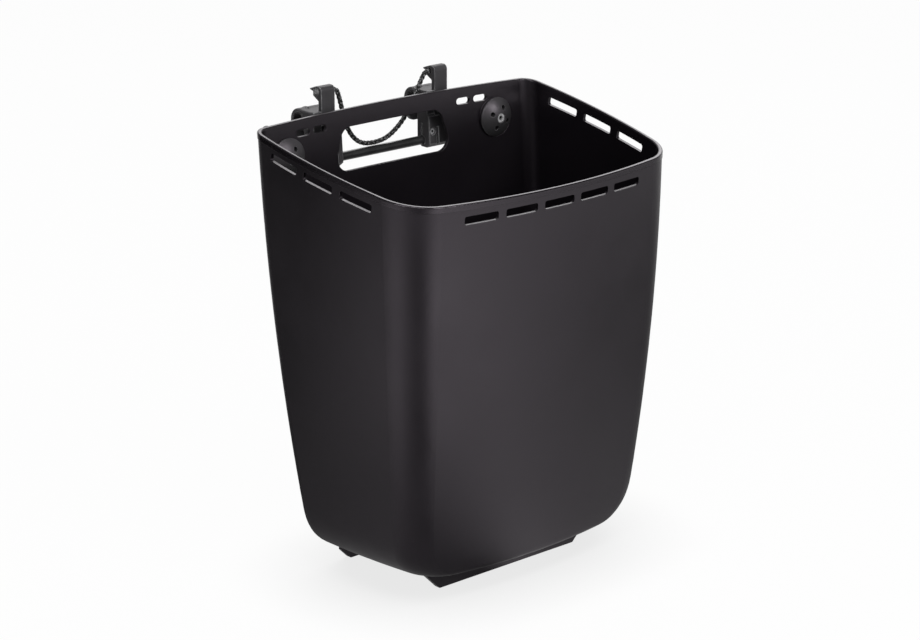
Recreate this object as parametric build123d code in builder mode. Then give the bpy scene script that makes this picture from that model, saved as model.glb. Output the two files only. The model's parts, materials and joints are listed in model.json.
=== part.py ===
# Open-top pannier bucket with a rail rod, two quick-release rack hooks and a pull rope.
# Sizes are in millimetres. X runs along the rack, +Y points at the rack and +Z is up.
# The origin is on the floor under the middle of the part.
import os
from math import cos, pi, radians, sin, sqrt, tan

from build123d import *

os.makedirs("parts", exist_ok=True)

# Bucket skin at the rim
rim_back_half = 155.6
rim_front_half = 146.5
rim_half_depth = 93.9
rim_front_bow = 16.4
rim_side_bow = 7.7
rim_back_bow = 8.2
rim_front_corner = 43.3
rim_back_corner = 15.0
rim_back_z = 384.5
rim_slope = 10.05

# Bucket skin at the base
base_z = 20.7
base_front_bow = 10.8
base_side_bow = 3.0
base_back_bow = 6.0
base_front_corner = 26.0
base_back_corner = 16.0
side_draft = 18.7
front_draft = 22.3
back_draft = 36.0
belly = 5.5
back_belly = 3.2
end_round = 38.0
edge_round = 4.0
round_power = 2.4

# Bucket walls
wall = 3.0
floor = 3.5
lip_proud = 0.5
lip_tall = 5.0
over_rim = 10.0
wall_start = 1.5
rim_edge = 1.2

# Slots in the walls
slot_drop = 12.7
slot_tall = 7.0
slot_corner = 2.0
front_slot_long = 33.0
front_slot_pitch = 40.6
front_slots = 5
side_slot_long = 35.0
side_slot_pitch = 44.0
side_slots = 3
side_slot_shift = 6.5
strap_slot_long = 15.0
strap_slot_tall = 6.0
strap_slot_pitch = 19.0
strap_from_end = 65.1
strap_shift = -1.8
hand_top_drop = 16.0
hand_tall = 37.5
hand_shift = -2.0
hand_top_half = 55.0
hand_low_half = 67.5
hand_corner = 12.0

# Runners under the base
runner_wide = 5.0
runner_corner = 2.5
runner_front_y = -46.3
runner_front_half = 78.0
runner_front_bevel = 16.0
runner_back_y = 56.1
runner_back_half = 90.0
runner_back_bevel = 9.0
runner_bury = 6.0

# Rail bolts, dome washers and brackets
rail_x = -3.5
bolt_from_end = 38.1
bolt_drop = 31.4
bolt_r = 2.5
bolt_clear = 0.3
bolt_head_r = 4.0
bolt_head_tall = 5.0
bolt_socket = 4.0
bolt_socket_deep = 3.0
dome_r = 17.5
dome_tall = 8.0
dome_edge = 1.2
dome_under_head = 2.0
dome_pin_hole_r = 2.1
dome_pin_circle_r = 9.5
dome_pin_turn = 66.0
seat_step = 0.4
pad_stand = 4.2
nut_across = 8.0
nut_tall = 4.0
bracket_wide = 26.0
bracket_thick = 5.0
bracket_out = 5.0
bracket_below_rim = 3.5
bracket_above_bolt = 9.0
bracket_tab_wide = 12.0
boss_wall = 3.5
rod_r = 4.0
rod_fit = 0.05
rod_drop = 47.1
rod_short_of_bolt = 1.5
rod_end_gap = 0.3
boss_long = 25.0

# Hook units
hook_left_x = -60.8
hook_right_x = 66.7
hook_left_reach = 16.0
hook_right_reach = 13.5
arch_right_reach = 7.5
hook_gap = 9.2
hook_corner = 1.0
column_deep = 13.6
channel_wide = 15.2
channel_rise = 12.0
seam_wide = 2.6
seam_deep = 1.5
shoulder_drop = 4.3
shoulder_fall = 5.8
rod_set_back = 7.0
arch_set_back = 21.0
arch_drop = 12.5
seat_r = 6.2
liner_thick = 1.2
liner_fit = 0.05
arch_thick = 3.0
rib_proud = 0.5
rib_wide = 1.2
rib_from_end = 9.0
leg_drop = 10.0
tongue_half = 9.0
tongue_drop = 21.7
tongue_corner = 7.0
liner_drop = 8.0
clamp_lip = 3.5
clamp_below = 6.2
clamp_front_tall = 24.0
clamp_front_wall = 2.0
clamp_slit = 1.2
clamp_slit_tall = 15.0
screw_x = 11.8
screw_rise = 8.6
screw_r = 1.5
screw_head_r = 2.75
screw_head_tall = 3.0
screw_clear = 0.1
head_clear = 0.3
clamp_nut_across = 5.5
clamp_nut_tall = 2.4

# Lock slider
slide_gap = 0.3
slider_thick = 4.0
slider_above_rim = 18.2
slider_head_tall = 12.5
slider_head_deep = 11.0
slider_beak = 4.0
flange_out = 1.4
flange_tall = 5.0
flange_thick = 2.1
lift = 3.0
window_half = 4.0
window_low = 2.5
window_high = 2.9
sill_tall = 2.7
cross_hole_r = 2.55
cross_hole_drop = 4.8
cross_hole_set_back = 7.0
knot_pocket_r = 3.35
knot_pocket_deep = 5.6

# Lock pawl
pivot_set_back = 8.0
pivot_rise = 2.5
pin_r = 1.5
pin_fit = 0.02
pawl_fit = 0.05
pin_half = 12.5
hub_r = 3.4
pawl_half = 7.0
hub_right = 3.0
tail_half = 3.5
spring_r = 2.4
spring_wire_r = 0.3
spring_pitch = 1.1
spring_turns = 3
cover_thick = 1.7

# Rope
rope_r = 2.25
knot_r = 2.95
knot_proud = 0.3

# Places that follow from the sizes above
arch_bore = seat_r + liner_thick
arch_outer = arch_bore + arch_thick
front_reach = rim_half_depth + rim_front_bow + lip_proud
hook_wide = hook_left_reach + hook_right_reach
arch_wide = hook_left_reach + arch_right_reach
hook_reach = rim_half_depth + rim_back_bow + hook_gap + arch_set_back + arch_outer + rib_proud
rim_y = (front_reach - hook_reach) / 2
back_y = rim_y + rim_half_depth + rim_back_bow
slope = radians(rim_slope)
bolt_half = rim_back_half - bolt_from_end
rod_half = bolt_half - rod_short_of_bolt
strap_half = rim_back_half - strap_from_end
bolt_z = rim_back_z - bolt_drop
rod_z = rim_back_z - rod_drop
body_y = back_y + hook_gap
column_y = body_y + column_deep
rod_y = body_y + rod_set_back
arch_y = body_y + arch_set_back
arch_z = rim_back_z - arch_drop
pivot_y = body_y + pivot_set_back
pivot_z = arch_z + pivot_rise
strip_back_y = body_y + slider_thick
slider_half = channel_wide / 2 - slide_gap
slider_top_z = rim_back_z + slider_above_rim
hole_y = body_y + cross_hole_set_back
hole_z = slider_top_z - cross_hole_drop
hooks = (("left", hook_left_x, -1), ("right", hook_right_x, 1))
ends = (("left", -1), ("right", 1))


def rim_z(y):
    """Height of the rim plane at y."""
    return rim_back_z + (y - back_y) * tan(slope)


def rounding(radius, up):
    """How far a rounded lower edge draws in at a height above the edge's lowest line."""
    if up >= radius:
        return 0.0
    return radius * (1 - (1 - (1 - up / radius) ** round_power) ** (1 / round_power))


def skin(level, inset, low, end_r, edge_r):
    """One level section of the bucket's skin, drawn in by the inset."""
    rise = (level - base_z) / (rim_back_z - base_z)
    fade = 1 - rise
    swell = 4 * belly * rise * fade
    side = side_draft * fade - swell + inset + rounding(end_r, level - low)
    edge = inset + rounding(edge_r, level - low)
    front_half = rim_front_half - side
    back_half = rim_back_half - side
    front = rim_y - rim_half_depth + front_draft * fade - swell + edge
    back = rim_y + rim_half_depth - back_draft * fade + 4 * back_belly * rise * fade - edge
    front_bow = base_front_bow + (rim_front_bow - base_front_bow) * rise
    side_bow = base_side_bow + (rim_side_bow - base_side_bow) * rise
    back_bow = base_back_bow + (rim_back_bow - base_back_bow) * rise
    front_corner = base_front_corner + (rim_front_corner - base_front_corner) * rise - inset
    back_corner = base_back_corner + (rim_back_corner - base_back_corner) * rise - inset
    middle = (front_half + back_half) / 2 + side_bow
    with BuildSketch(Plane.XY.offset(level)) as section:
        with BuildLine():
            ThreePointArc((-front_half, front), (0, front - front_bow), (front_half, front))
            ThreePointArc((front_half, front), (middle, (front + back) / 2), (back_half, back))
            ThreePointArc((back_half, back), (0, back + back_bow), (-back_half, back))
            ThreePointArc((-back_half, back), (-middle, (front + back) / 2), (-front_half, front))
        make_face()
        fillet(section.vertices().sort_by(Axis.Y)[:2], front_corner)
        fillet(section.vertices().sort_by(Axis.Y)[-2:], back_corner)
    return section.sketch


def skin_solid(inset, low, end_r):
    """The whole volume inside the skin: a rounded lower part and the walls above it."""
    turns = [low + end_r * (1 - cos(radians(turn))) for turn in (0, 9, 15, 22, 32, 45, 60, 75, 90)]
    wall_low = low + wall_start * end_r
    turns += [(low + end_r + wall_low) / 2, wall_low]
    wall_step = (rim_back_z + over_rim - wall_low) / 3
    with BuildPart() as body:
        loft([skin(level, inset, low, end_r, edge_round) for level in turns])
        loft([skin(wall_low + wall_step * step, inset, low, end_r, edge_round) for step in range(4)])
        split(bisect_by=rim_plane.offset(inset), keep=Keep.BOTTOM)
    return body.part


def rack_wall_y(x, z):
    """The rack wall's outer face at x and z."""
    rise = (z - base_z) / (rim_back_z - base_z)
    fade = 1 - rise
    half = rim_back_half - side_draft * fade + 4 * belly * rise * fade
    corner_y = rim_y + rim_half_depth - back_draft * fade + 4 * back_belly * rise * fade
    bow = base_back_bow + (rim_back_bow - base_back_bow) * rise
    curve = (half**2 + bow**2) / (2 * bow)
    return corner_y + bow - curve + sqrt(curve**2 - x**2)


seat_y = rack_wall_y(bolt_half - rail_x, bolt_z) - wall - seat_step
pad_y = rack_wall_y(bolt_half + rail_x, bolt_z) + pad_stand
rim_plane = Plane((0, back_y, rim_back_z), x_dir=(1, 0, 0), z_dir=(0, -sin(slope), cos(slope)))
lip_plane = rim_plane.offset(-lip_tall)

# Rim band, the thicker edge round the bucket's mouth
band_low = rim_z(rim_y - front_reach) - lip_tall - over_rim
band_levels = [band_low, rim_back_z - 2 * over_rim, rim_back_z + over_rim]
with BuildPart() as band:
    loft([skin(level, -lip_proud, base_z, end_round, edge_round) for level in band_levels])
    split(bisect_by=rim_plane, keep=Keep.BOTTOM)
    split(bisect_by=lip_plane, keep=Keep.TOP)

# Bucket, one moulding
inner_z = base_z + floor
with BuildPart() as bucket:
    add(skin_solid(0, base_z, end_round))
    add(band.part)
    high = base_z + runner_bury
    for middle, half, bevel in (
        (runner_front_y, runner_front_half, runner_front_bevel),
        (runner_back_y, runner_back_half, runner_back_bevel),
    ):
        end = half + bevel
        with BuildSketch(Plane.XZ.offset(-(rim_y + middle + runner_wide / 2))) as runner:
            Polygon((-half, 0), (half, 0), (end, bevel), (end, high), (-end, high), (-end, bevel), align=None)
            fillet(runner.vertices().sort_by(Axis.Y)[:2], runner_corner)
        extrude(amount=runner_wide)
    add(skin_solid(wall, inner_z, end_round - floor), mode=Mode.SUBTRACT)
    for side in (-1, 1):
        with Locations(Plane((rail_x + side * bolt_half, seat_y, bolt_z), z_dir=(0, 1, 0))):
            Cylinder(dome_r - seat_step, pad_y - seat_y, align=(Align.CENTER, Align.CENTER, Align.MIN))
            Cylinder(bolt_r + bolt_clear, 8 * wall, mode=Mode.SUBTRACT)
            Cylinder(dome_r + seat_step, dome_tall,
                     align=(Align.CENTER, Align.CENTER, Align.MAX), mode=Mode.SUBTRACT)
    front_slot_z = rim_z(rim_y - front_reach) - slot_drop
    with BuildSketch(Plane.XZ.offset(-rim_y)):
        with Locations((0, front_slot_z)):
            with GridLocations(front_slot_pitch, 1, front_slots, 1):
                RectangleRounded(front_slot_long, slot_tall, slot_corner)
    extrude(amount=front_reach + over_rim, mode=Mode.SUBTRACT)
    side_plane = Plane((0, rim_y + side_slot_shift, rim_z(rim_y + side_slot_shift) - slot_drop),
                       x_dir=(0, cos(slope), sin(slope)), z_dir=(1, 0, 0))
    with BuildSketch(side_plane):
        with GridLocations(side_slot_pitch, 1, side_slots, 1):
            RectangleRounded(side_slot_long, slot_tall, slot_corner)
    extrude(amount=rim_back_half + over_rim, both=True, mode=Mode.SUBTRACT)
    with BuildSketch(Plane.XZ.offset(-rim_y)):
        for side in (-1, 1):
            with Locations((strap_shift + side * strap_half, rim_back_z - slot_drop)):
                with GridLocations(strap_slot_pitch, 1, 2, 1):
                    SlotOverall(strap_slot_long, strap_slot_tall)
    extrude(amount=-rim_half_depth - over_rim, mode=Mode.SUBTRACT)
    hand_top = rim_back_z - hand_top_drop
    hand_low = hand_top - hand_tall
    with BuildSketch(Plane.XZ.offset(-rim_y)) as hand_slot:
        Polygon(
            (hand_shift - hand_low_half, hand_low),
            (hand_shift + hand_low_half, hand_low),
            (hand_shift + hand_top_half, hand_top),
            (hand_shift - hand_top_half, hand_top),
            align=None,
        )
        fillet(hand_slot.vertices(), hand_corner)
    extrude(amount=-rim_half_depth - over_rim, mode=Mode.SUBTRACT)
    flats = bucket.faces().filter_by(GeomType.PLANE)
    rim_face = flats.filter_by(lambda face: abs(rim_plane.to_local_coords(face.center()).Z) < rim_edge / 10)
    fillet(rim_face.sort_by(SortBy.AREA)[-1].edges(), rim_edge)
bucket.part.label = "bucket"
export_step(bucket.part, "parts/bucket.step")

# Rail rod
with BuildPart(Plane((rail_x, rod_y, rod_z), z_dir=(1, 0, 0))) as rail_rod:
    Cylinder(rod_r, 2 * rod_half)
rail_rod.part.label = "rail_rod"
export_step(rail_rod.part, "parts/rail_rod.step")

# Rail brackets, with a boss round each end of the rod
boss_r = rod_r + boss_wall
plate_top = rim_back_z - bracket_below_rim
plate_low = rod_z - boss_r
plate_tall = plate_top - plate_low
for name, side in ends:
    boss_in = rail_x + side * (rod_half + rod_end_gap + boss_wall - boss_long)
    plate_x = rail_x + side * (bolt_half + bracket_out)
    with BuildPart() as rail_bracket:
        tab_x = side * (bracket_wide - bracket_tab_wide) / 2
        with BuildSketch(Plane((plate_x, pad_y, plate_low), (1, 0, 0), (0, -1, 0))):
            Rectangle(bracket_wide, bolt_z + bracket_above_bolt - plate_low, align=(Align.CENTER, Align.MIN))
            with Locations((tab_x, 0)):
                Rectangle(bracket_tab_wide, plate_tall - bracket_tab_wide / 2, align=(Align.CENTER, Align.MIN))
            with Locations((tab_x, plate_tall - bracket_tab_wide / 2)):
                Circle(bracket_tab_wide / 2)
        extrude(amount=-bracket_thick)
        with Locations(Plane((boss_in, rod_y, rod_z), z_dir=(side, 0, 0))):
            Cylinder(boss_r, boss_long, align=(Align.CENTER, Align.CENTER, Align.MIN))
        with Locations((boss_in + side * boss_long / 2, (pad_y + rod_y) / 2, rod_z)):
            Box(boss_long, rod_y - pad_y, 2 * boss_r)
        with Locations(Plane((boss_in, rod_y, rod_z), z_dir=(side, 0, 0))):
            Cylinder(rod_r + rod_fit, boss_long - boss_wall, align=(Align.CENTER, Align.CENTER, Align.MIN),
                     mode=Mode.SUBTRACT)
        with Locations(Plane((rail_x + side * bolt_half, pad_y, bolt_z), z_dir=(0, 1, 0))):
            Cylinder(bolt_r + bolt_clear, 4 * bracket_thick, mode=Mode.SUBTRACT)
    rail_bracket.part.label = "rail_bracket_" + name
    export_step(rail_bracket.part, "parts/rail_bracket_" + name + ".step")

# Dome washers inside the bucket, under the bolt heads
dome_curve = (dome_r**2 + (dome_tall - dome_edge) ** 2) / (2 * (dome_tall - dome_edge))
for name, side in ends:
    with BuildPart(Plane((rail_x + side * bolt_half, seat_y, bolt_z), (1, 0, 0), (0, -1, 0))) as dome_washer:
        Cylinder(dome_r, dome_tall, align=(Align.CENTER, Align.CENTER, Align.MIN))
        with Locations((0, 0, dome_tall - dome_curve)):
            Sphere(dome_curve, mode=Mode.INTERSECT)
        Cylinder(bolt_r + bolt_clear, 4 * dome_tall, mode=Mode.SUBTRACT)
        with Locations((0, 0, dome_under_head)):
            Cylinder(bolt_head_r + bolt_clear, dome_tall, align=(Align.CENTER, Align.CENTER, Align.MIN),
                     mode=Mode.SUBTRACT)
            with PolarLocations(dome_pin_circle_r, 4, dome_pin_turn):
                Cylinder(dome_pin_hole_r, dome_tall, align=(Align.CENTER, Align.CENTER, Align.MIN),
                         mode=Mode.SUBTRACT)
    dome_washer.part.label = "dome_washer_" + name
    export_step(dome_washer.part, "parts/dome_washer_" + name + ".step")

# Socket-head bolts through the domes, the wall and the brackets
bolt_xs = [rail_x + side * bolt_half for name, side in ends]
bolt_planes = [Plane((x, seat_y - dome_under_head, bolt_z), (1, 0, 0), (0, -1, 0)) for x in bolt_xs]
bolt_long = pad_y + bracket_thick + nut_tall - seat_y + dome_under_head
with BuildPart(*bolt_planes) as bracket_bolts:
    Cylinder(bolt_head_r, bolt_head_tall, align=(Align.CENTER, Align.CENTER, Align.MIN))
    Cylinder(bolt_r, bolt_long, align=(Align.CENTER, Align.CENTER, Align.MAX))
    with BuildSketch(*[plane.offset(bolt_head_tall) for plane in bolt_planes]):
        RegularPolygon(bolt_socket / 2, 6, major_radius=False)
    extrude(amount=-bolt_socket_deep, mode=Mode.SUBTRACT)
bracket_bolts.part.label = "bracket_bolts"
export_step(bracket_bolts.part, "parts/bracket_bolts.step")

# Nuts on the bracket bolts
nut_planes = [Plane((x, pad_y + bracket_thick, bolt_z), (1, 0, 0), (0, 1, 0)) for x in bolt_xs]
with BuildPart() as bracket_nuts:
    with BuildSketch(*nut_planes):
        RegularPolygon(nut_across / 2, 6, major_radius=False)
        Circle(bolt_r + screw_clear, mode=Mode.SUBTRACT)
    extrude(amount=nut_tall)
bracket_nuts.part.label = "bracket_nuts"
export_step(bracket_nuts.part, "parts/bracket_nuts.step")

# Hook units on the rod
column_top = arch_z + sqrt(arch_outer**2 - liner_thick**2) - rib_proud
column_low = rod_z - clamp_below
leg_z = arch_z - leg_drop
screw_z = rod_z + screw_rise
nose_z = leg_z - liner_thick
head_seat_y = body_y + liner_thick
nut_y = column_y - clamp_nut_tall
cover_y = column_y - cover_thick
pocket_top = pivot_z + hub_r + slide_gap
groove_low = pivot_z - window_low - sill_tall - lift
groove_top = groove_low + flange_tall + 2 * lift + slide_gap
strip_low = groove_low + lift
shoulder_z = rim_back_z - shoulder_drop
channel_low = rod_z + channel_rise
front_wall_z = rod_z + clamp_front_tall - clamp_front_wall
for name, x, side in hooks:
    hook_left = x - hook_left_reach
    with BuildPart() as hook_body:
        with BuildSketch(Plane.YZ.offset(hook_left)):
            Polygon(
                (body_y, shoulder_z),
                (body_y, rod_z + clamp_front_tall),
                (body_y - clamp_front_wall, front_wall_z),
                (body_y - clamp_lip, rod_z),
                (body_y - clamp_lip, rod_z - 0.4 * clamp_below),
                (body_y + liner_thick, column_low),
                (rod_y + liner_thick, column_low),
                (column_y, rod_z - 0.3 * clamp_below),
                (column_y, shoulder_z - shoulder_fall),
                align=None,
            )
        extrude(amount=hook_wide)
        with BuildSketch(Plane.YZ.offset(hook_left)):
            Polygon(
                (body_y, column_top),
                (body_y, leg_z),
                (column_y, leg_z),
                (column_y, arch_z),
                (arch_y, arch_z),
                (arch_y, column_top),
                align=None,
            )
            with Locations((arch_y, arch_z)):
                Circle(arch_outer)
                Rectangle(arch_outer, leg_drop, align=(Align.MIN, Align.MAX))
                Circle(arch_bore, mode=Mode.SUBTRACT)
                Rectangle(2 * arch_bore, 4 * arch_bore, align=(Align.CENTER, Align.MAX), mode=Mode.SUBTRACT)
        extrude(amount=arch_wide)
        end_faces = hook_body.faces().sort_by(Axis.X)
        fillet(end_faces[0].edges() + end_faces[-1].edges(), hook_corner)
        with BuildSketch(Plane.XZ.offset(-(arch_y + arch_outer))):
            with Locations((hook_left + arch_wide / 2, leg_z)):
                RectangleRounded(2 * tongue_half, 2 * (tongue_drop - leg_drop), tongue_corner)
        extrude(amount=arch_thick)
        with BuildSketch(Plane.YZ.offset(hook_left + rib_from_end)):
            with Locations((arch_y, arch_z)):
                Circle(arch_outer + rib_proud)
                Circle(arch_bore + arch_thick / 2, mode=Mode.SUBTRACT)
                Rectangle(4 * arch_outer, 2 * arch_outer, align=(Align.CENTER, Align.MAX), mode=Mode.SUBTRACT)
                Rectangle(2 * arch_outer, 2 * arch_outer, align=(Align.MAX, Align.CENTER), mode=Mode.SUBTRACT)
        extrude(amount=rib_wide)
        with BuildSketch(Plane.YZ.offset(x - channel_wide / 2)):
            Polygon(
                (body_y, channel_low),
                (column_y + clamp_lip, channel_low),
                (column_y + clamp_lip, leg_z),
                (cover_y, leg_z),
                (cover_y, pocket_top),
                (strip_back_y + slide_gap, pocket_top),
                (strip_back_y + slide_gap, rim_back_z),
                (body_y - 2 * clamp_lip, rim_back_z),
                (body_y - 2 * clamp_lip, front_wall_z),
                (body_y, front_wall_z),
                align=None,
            )
        extrude(amount=channel_wide, mode=Mode.SUBTRACT)
        with Locations((x, strip_back_y + slide_gap, groove_low)):
            Box(channel_wide + 2 * flange_out, flange_thick + 2 * slide_gap, groove_top - groove_low,
                align=(Align.CENTER, Align.MAX, Align.MIN), mode=Mode.SUBTRACT)
        with Locations(Plane((x, rod_y, rod_z), z_dir=(1, 0, 0))):
            Cylinder(rod_r + rod_fit, 2 * hook_wide, mode=Mode.SUBTRACT)
        with Locations((x, rod_y, rod_z)):
            Box(2 * hook_wide, clamp_slit, clamp_slit_tall, align=(Align.CENTER, Align.CENTER, Align.MIN),
                mode=Mode.SUBTRACT)
        with Locations(Plane((x - screw_x, head_seat_y, screw_z), z_dir=(0, -1, 0))):
            Cylinder(screw_r + screw_clear, 4 * column_deep, mode=Mode.SUBTRACT)
            Cylinder(screw_head_r + head_clear, 2 * column_deep,
                     align=(Align.CENTER, Align.CENTER, Align.MIN), mode=Mode.SUBTRACT)
        with BuildSketch(Plane((x - screw_x, nut_y, screw_z), (1, 0, 0), (0, 1, 0))):
            RegularPolygon(clamp_nut_across / 2 + screw_clear, 6, major_radius=False)
        extrude(amount=2 * clamp_nut_tall, mode=Mode.SUBTRACT)
        for seam_x in (x - channel_wide / 2, x + channel_wide / 2 - seam_wide):
            with BuildSketch(Plane.YZ.offset(seam_x)):
                Polygon(
                    (body_y - 2 * clamp_lip, column_low + liner_thick),
                    (body_y - clamp_lip + seam_deep, column_low + liner_thick),
                    (body_y - clamp_lip + seam_deep, channel_low),
                    (body_y - 2 * clamp_lip, channel_low),
                    align=None,
                )
            extrude(amount=seam_wide, mode=Mode.SUBTRACT)
        with Locations(Plane((x - pin_half, pivot_y, pivot_z), z_dir=(1, 0, 0))):
            Cylinder(pin_r + pin_fit, hook_wide,
                     align=(Align.CENTER, Align.CENTER, Align.MIN), mode=Mode.SUBTRACT)
    hook_body.part.label = "hook_body_" + name
    export_step(hook_body.part, "parts/hook_body_" + name + ".step")

    # Tube liner, a clipped-in sleeve between the arch and the rack's tube
    with BuildPart() as tube_liner:
        with BuildSketch(Plane.YZ.offset(hook_left)):
            with Locations((arch_y, arch_z)):
                Circle(arch_bore - liner_fit)
                Rectangle(2 * (arch_bore - liner_fit), liner_drop, align=(Align.CENTER, Align.MAX))
                Circle(seat_r, mode=Mode.SUBTRACT)
                Rectangle(2 * seat_r, 4 * seat_r, align=(Align.CENTER, Align.MAX), mode=Mode.SUBTRACT)
        extrude(amount=arch_wide)
    tube_liner.part.label = "tube_liner_" + name
    export_step(tube_liner.part, "parts/tube_liner_" + name + ".step")

    # Lock slider, the flat post that the rope lifts
    head_low_z = slider_top_z - slider_head_tall
    head_back_y = body_y + slider_head_deep
    with BuildPart() as lock_slider:
        with BuildSketch(Plane.YZ.offset(x - slider_half)) as profile:
            Polygon(
                (body_y, strip_low),
                (strip_back_y, strip_low),
                (strip_back_y, head_low_z),
                (head_back_y, head_low_z + slider_thick),
                (head_back_y, hole_z),
                (head_back_y + slider_beak, slider_top_z - 0.95 * slider_thick),
                (head_back_y + slider_beak, slider_top_z - 0.7 * slider_thick),
                (head_back_y - slider_thick, slider_top_z),
                (body_y, slider_top_z),
                align=None,
            )
            fillet(profile.vertices().sort_by(Axis.X)[:2].sort_by(Axis.Y)[-1], slider_thick)
        extrude(amount=2 * slider_half)
        with Locations((x, strip_back_y, strip_low)):
            Box(2 * (slider_half + flange_out), flange_thick, flange_tall,
                align=(Align.CENTER, Align.MAX, Align.MIN))
        with Locations((x, body_y, pivot_z - window_low)):
            Box(2 * window_half, 4 * slider_thick, window_low + window_high,
                align=(Align.CENTER, Align.CENTER, Align.MIN), mode=Mode.SUBTRACT)
        with Locations(Plane((x, hole_y, hole_z), z_dir=(1, 0, 0))):
            Cylinder(cross_hole_r, hook_wide, mode=Mode.SUBTRACT)
        with Locations(Plane((x + side * slider_half, hole_y, hole_z), z_dir=(-side, 0, 0))):
            Cylinder(knot_pocket_r, knot_pocket_deep,
                     align=(Align.CENTER, Align.CENTER, Align.MIN), mode=Mode.SUBTRACT)
    lock_slider.part.label = "lock_slider_" + name
    export_step(lock_slider.part, "parts/lock_slider_" + name + ".step")

    # Lock pawl, which closes the mouth of the arch
    with BuildPart() as lock_pawl:
        with BuildSketch(Plane.YZ.offset(x - pawl_half)) as arm:
            Polygon(
                (pivot_y - 1.6, pivot_z - 2.0),
                (pivot_y + 2.8, pivot_z - 2.0),
                (pivot_y + 3.2, nose_z + 0.6),
                (pivot_y + 5.2, nose_z - 1.6),
                (arch_y + 1.2, nose_z - 2.4),
                (arch_y + 2.4, nose_z - 4.2),
                (arch_y + 1.2, nose_z - 6.0),
                (pivot_y + 3.0, nose_z - 6.4),
                (pivot_y - 0.2, nose_z - 4.0),
                align=None,
            )
        extrude(amount=2 * pawl_half)
        with Locations((x + hub_right, pivot_y, pivot_z + hub_r)):
            Box(2 * pawl_half, 4 * hub_r, 2.2 * hub_r,
                align=(Align.MIN, Align.CENTER, Align.MAX), mode=Mode.SUBTRACT)
        with Locations(Plane((x - pawl_half, pivot_y, pivot_z), z_dir=(1, 0, 0))):
            Cylinder(hub_r, pawl_half + hub_right, align=(Align.CENTER, Align.CENTER, Align.MIN))
        with BuildSketch(Plane.YZ.offset(x - tail_half)):
            Polygon(
                (pivot_y, pivot_z + 1.6),
                (pivot_y - 7.0, pivot_z + 1.2),
                (pivot_y - 7.3, pivot_z - 0.6),
                (pivot_y - 6.5, pivot_z - 1.9),
                (pivot_y - 4.0, pivot_z - 1.0),
                (pivot_y, pivot_z - 1.2),
                align=None,
            )
        extrude(amount=tail_half + hub_right)
        with Locations(Plane((x, pivot_y, pivot_z), z_dir=(1, 0, 0))):
            Cylinder(pin_r + pawl_fit, hook_wide, mode=Mode.SUBTRACT)
    lock_pawl.part.label = "lock_pawl_" + name
    export_step(lock_pawl.part, "parts/lock_pawl_" + name + ".step")

    # Pawl pin
    with BuildPart(Plane((x, pivot_y, pivot_z), z_dir=(1, 0, 0))) as pawl_pin:
        Cylinder(pin_r, 2 * pin_half)
    pawl_pin.part.label = "pawl_pin_" + name
    export_step(pawl_pin.part, "parts/pawl_pin_" + name + ".step")

    # Pawl spring, a small torsion spring round the pin
    spring_x = x + hub_right + slide_gap + 2 * spring_wire_r
    with BuildPart() as pawl_spring:
        with BuildLine() as coil:
            Helix(spring_pitch, spring_pitch * spring_turns, spring_r,
                  (spring_x, pivot_y, pivot_z), (1, 0, 0))
        with BuildSketch(Plane(coil.line @ 0, z_dir=coil.line % 0)):
            Circle(spring_wire_r)
        sweep(path=coil.line, is_frenet=True)
    pawl_spring.part.label = "pawl_spring_" + name
    export_step(pawl_spring.part, "parts/pawl_spring_" + name + ".step")

# Clamp screws and their nuts, one on each hook
screw_planes = [Plane((x - screw_x, head_seat_y, screw_z), (1, 0, 0), (0, -1, 0)) for name, x, side in hooks]
with BuildPart(*screw_planes) as clamp_screws:
    Cylinder(screw_head_r, screw_head_tall, align=(Align.CENTER, Align.CENTER, Align.MIN))
    Cylinder(screw_r, column_y - head_seat_y, align=(Align.CENTER, Align.CENTER, Align.MAX))
    with BuildSketch(*[plane.offset(screw_head_tall) for plane in screw_planes]):
        RegularPolygon(screw_r / 1.3, 6, major_radius=False)
    extrude(amount=-screw_head_tall / 2, mode=Mode.SUBTRACT)
clamp_screws.part.label = "clamp_screws"
export_step(clamp_screws.part, "parts/clamp_screws.step")

clamp_nut_planes = [Plane((x - screw_x, nut_y, screw_z), (1, 0, 0), (0, 1, 0)) for name, x, side in hooks]
with BuildPart() as clamp_nuts:
    with BuildSketch(*clamp_nut_planes):
        RegularPolygon(clamp_nut_across / 2, 6, major_radius=False)
        Circle(screw_r + screw_clear, mode=Mode.SUBTRACT)
    extrude(amount=clamp_nut_tall)
clamp_nuts.part.label = "clamp_nuts"
export_step(clamp_nuts.part, "parts/clamp_nuts.step")

# Pull rope, hanging between the two sliders
rope_start = hook_left_x + slider_half
rope_end = hook_right_x - slider_half
rope_drops = (
    (rope_start, 0.0),
    (rope_start + 7.2, 0.0),
    (rope_start + 10.0, 6.4),
    (rope_start + 12.7, 15.9),
    (rope_start + 16.0, 28.4),
    (rope_start + 22.0, 42.4),
    (rope_start + 33.5, 52.5),
    (rope_start + 48.5, 54.3),
    (rope_end - 50.4, 52.5),
    (rope_end - 38.9, 46.1),
    (rope_end - 28.9, 37.4),
    (rope_end - 19.9, 24.9),
    (rope_end - 13.4, 13.4),
    (rope_end - 7.1, 2.6),
    (rope_end - 3.6, 0.0),
    (rope_end, 0.0),
)
rope_points = [Vector(x, hole_y, hole_z - drop) for x, drop in rope_drops]
runs = [after - before for before, after in zip(rope_points, rope_points[1:])]
bends = []
for before, after in zip(runs, runs[1:]):
    half_turn = radians(before.get_angle(after)) / 2
    bends.append(0.45 * min(before.length, after.length) / tan(half_turn))
print("rope bend radii:", [round(bend, 1) for bend in bends])
with BuildPart() as pull_rope:
    with BuildLine() as route:
        FilletPolyline(*rope_points, radius=bends)
    with BuildSketch(Plane(route.line @ 0, z_dir=route.line % 0)):
        Circle(rope_r)
    sweep(path=route.line)
rope_long = route.wire().length
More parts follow.
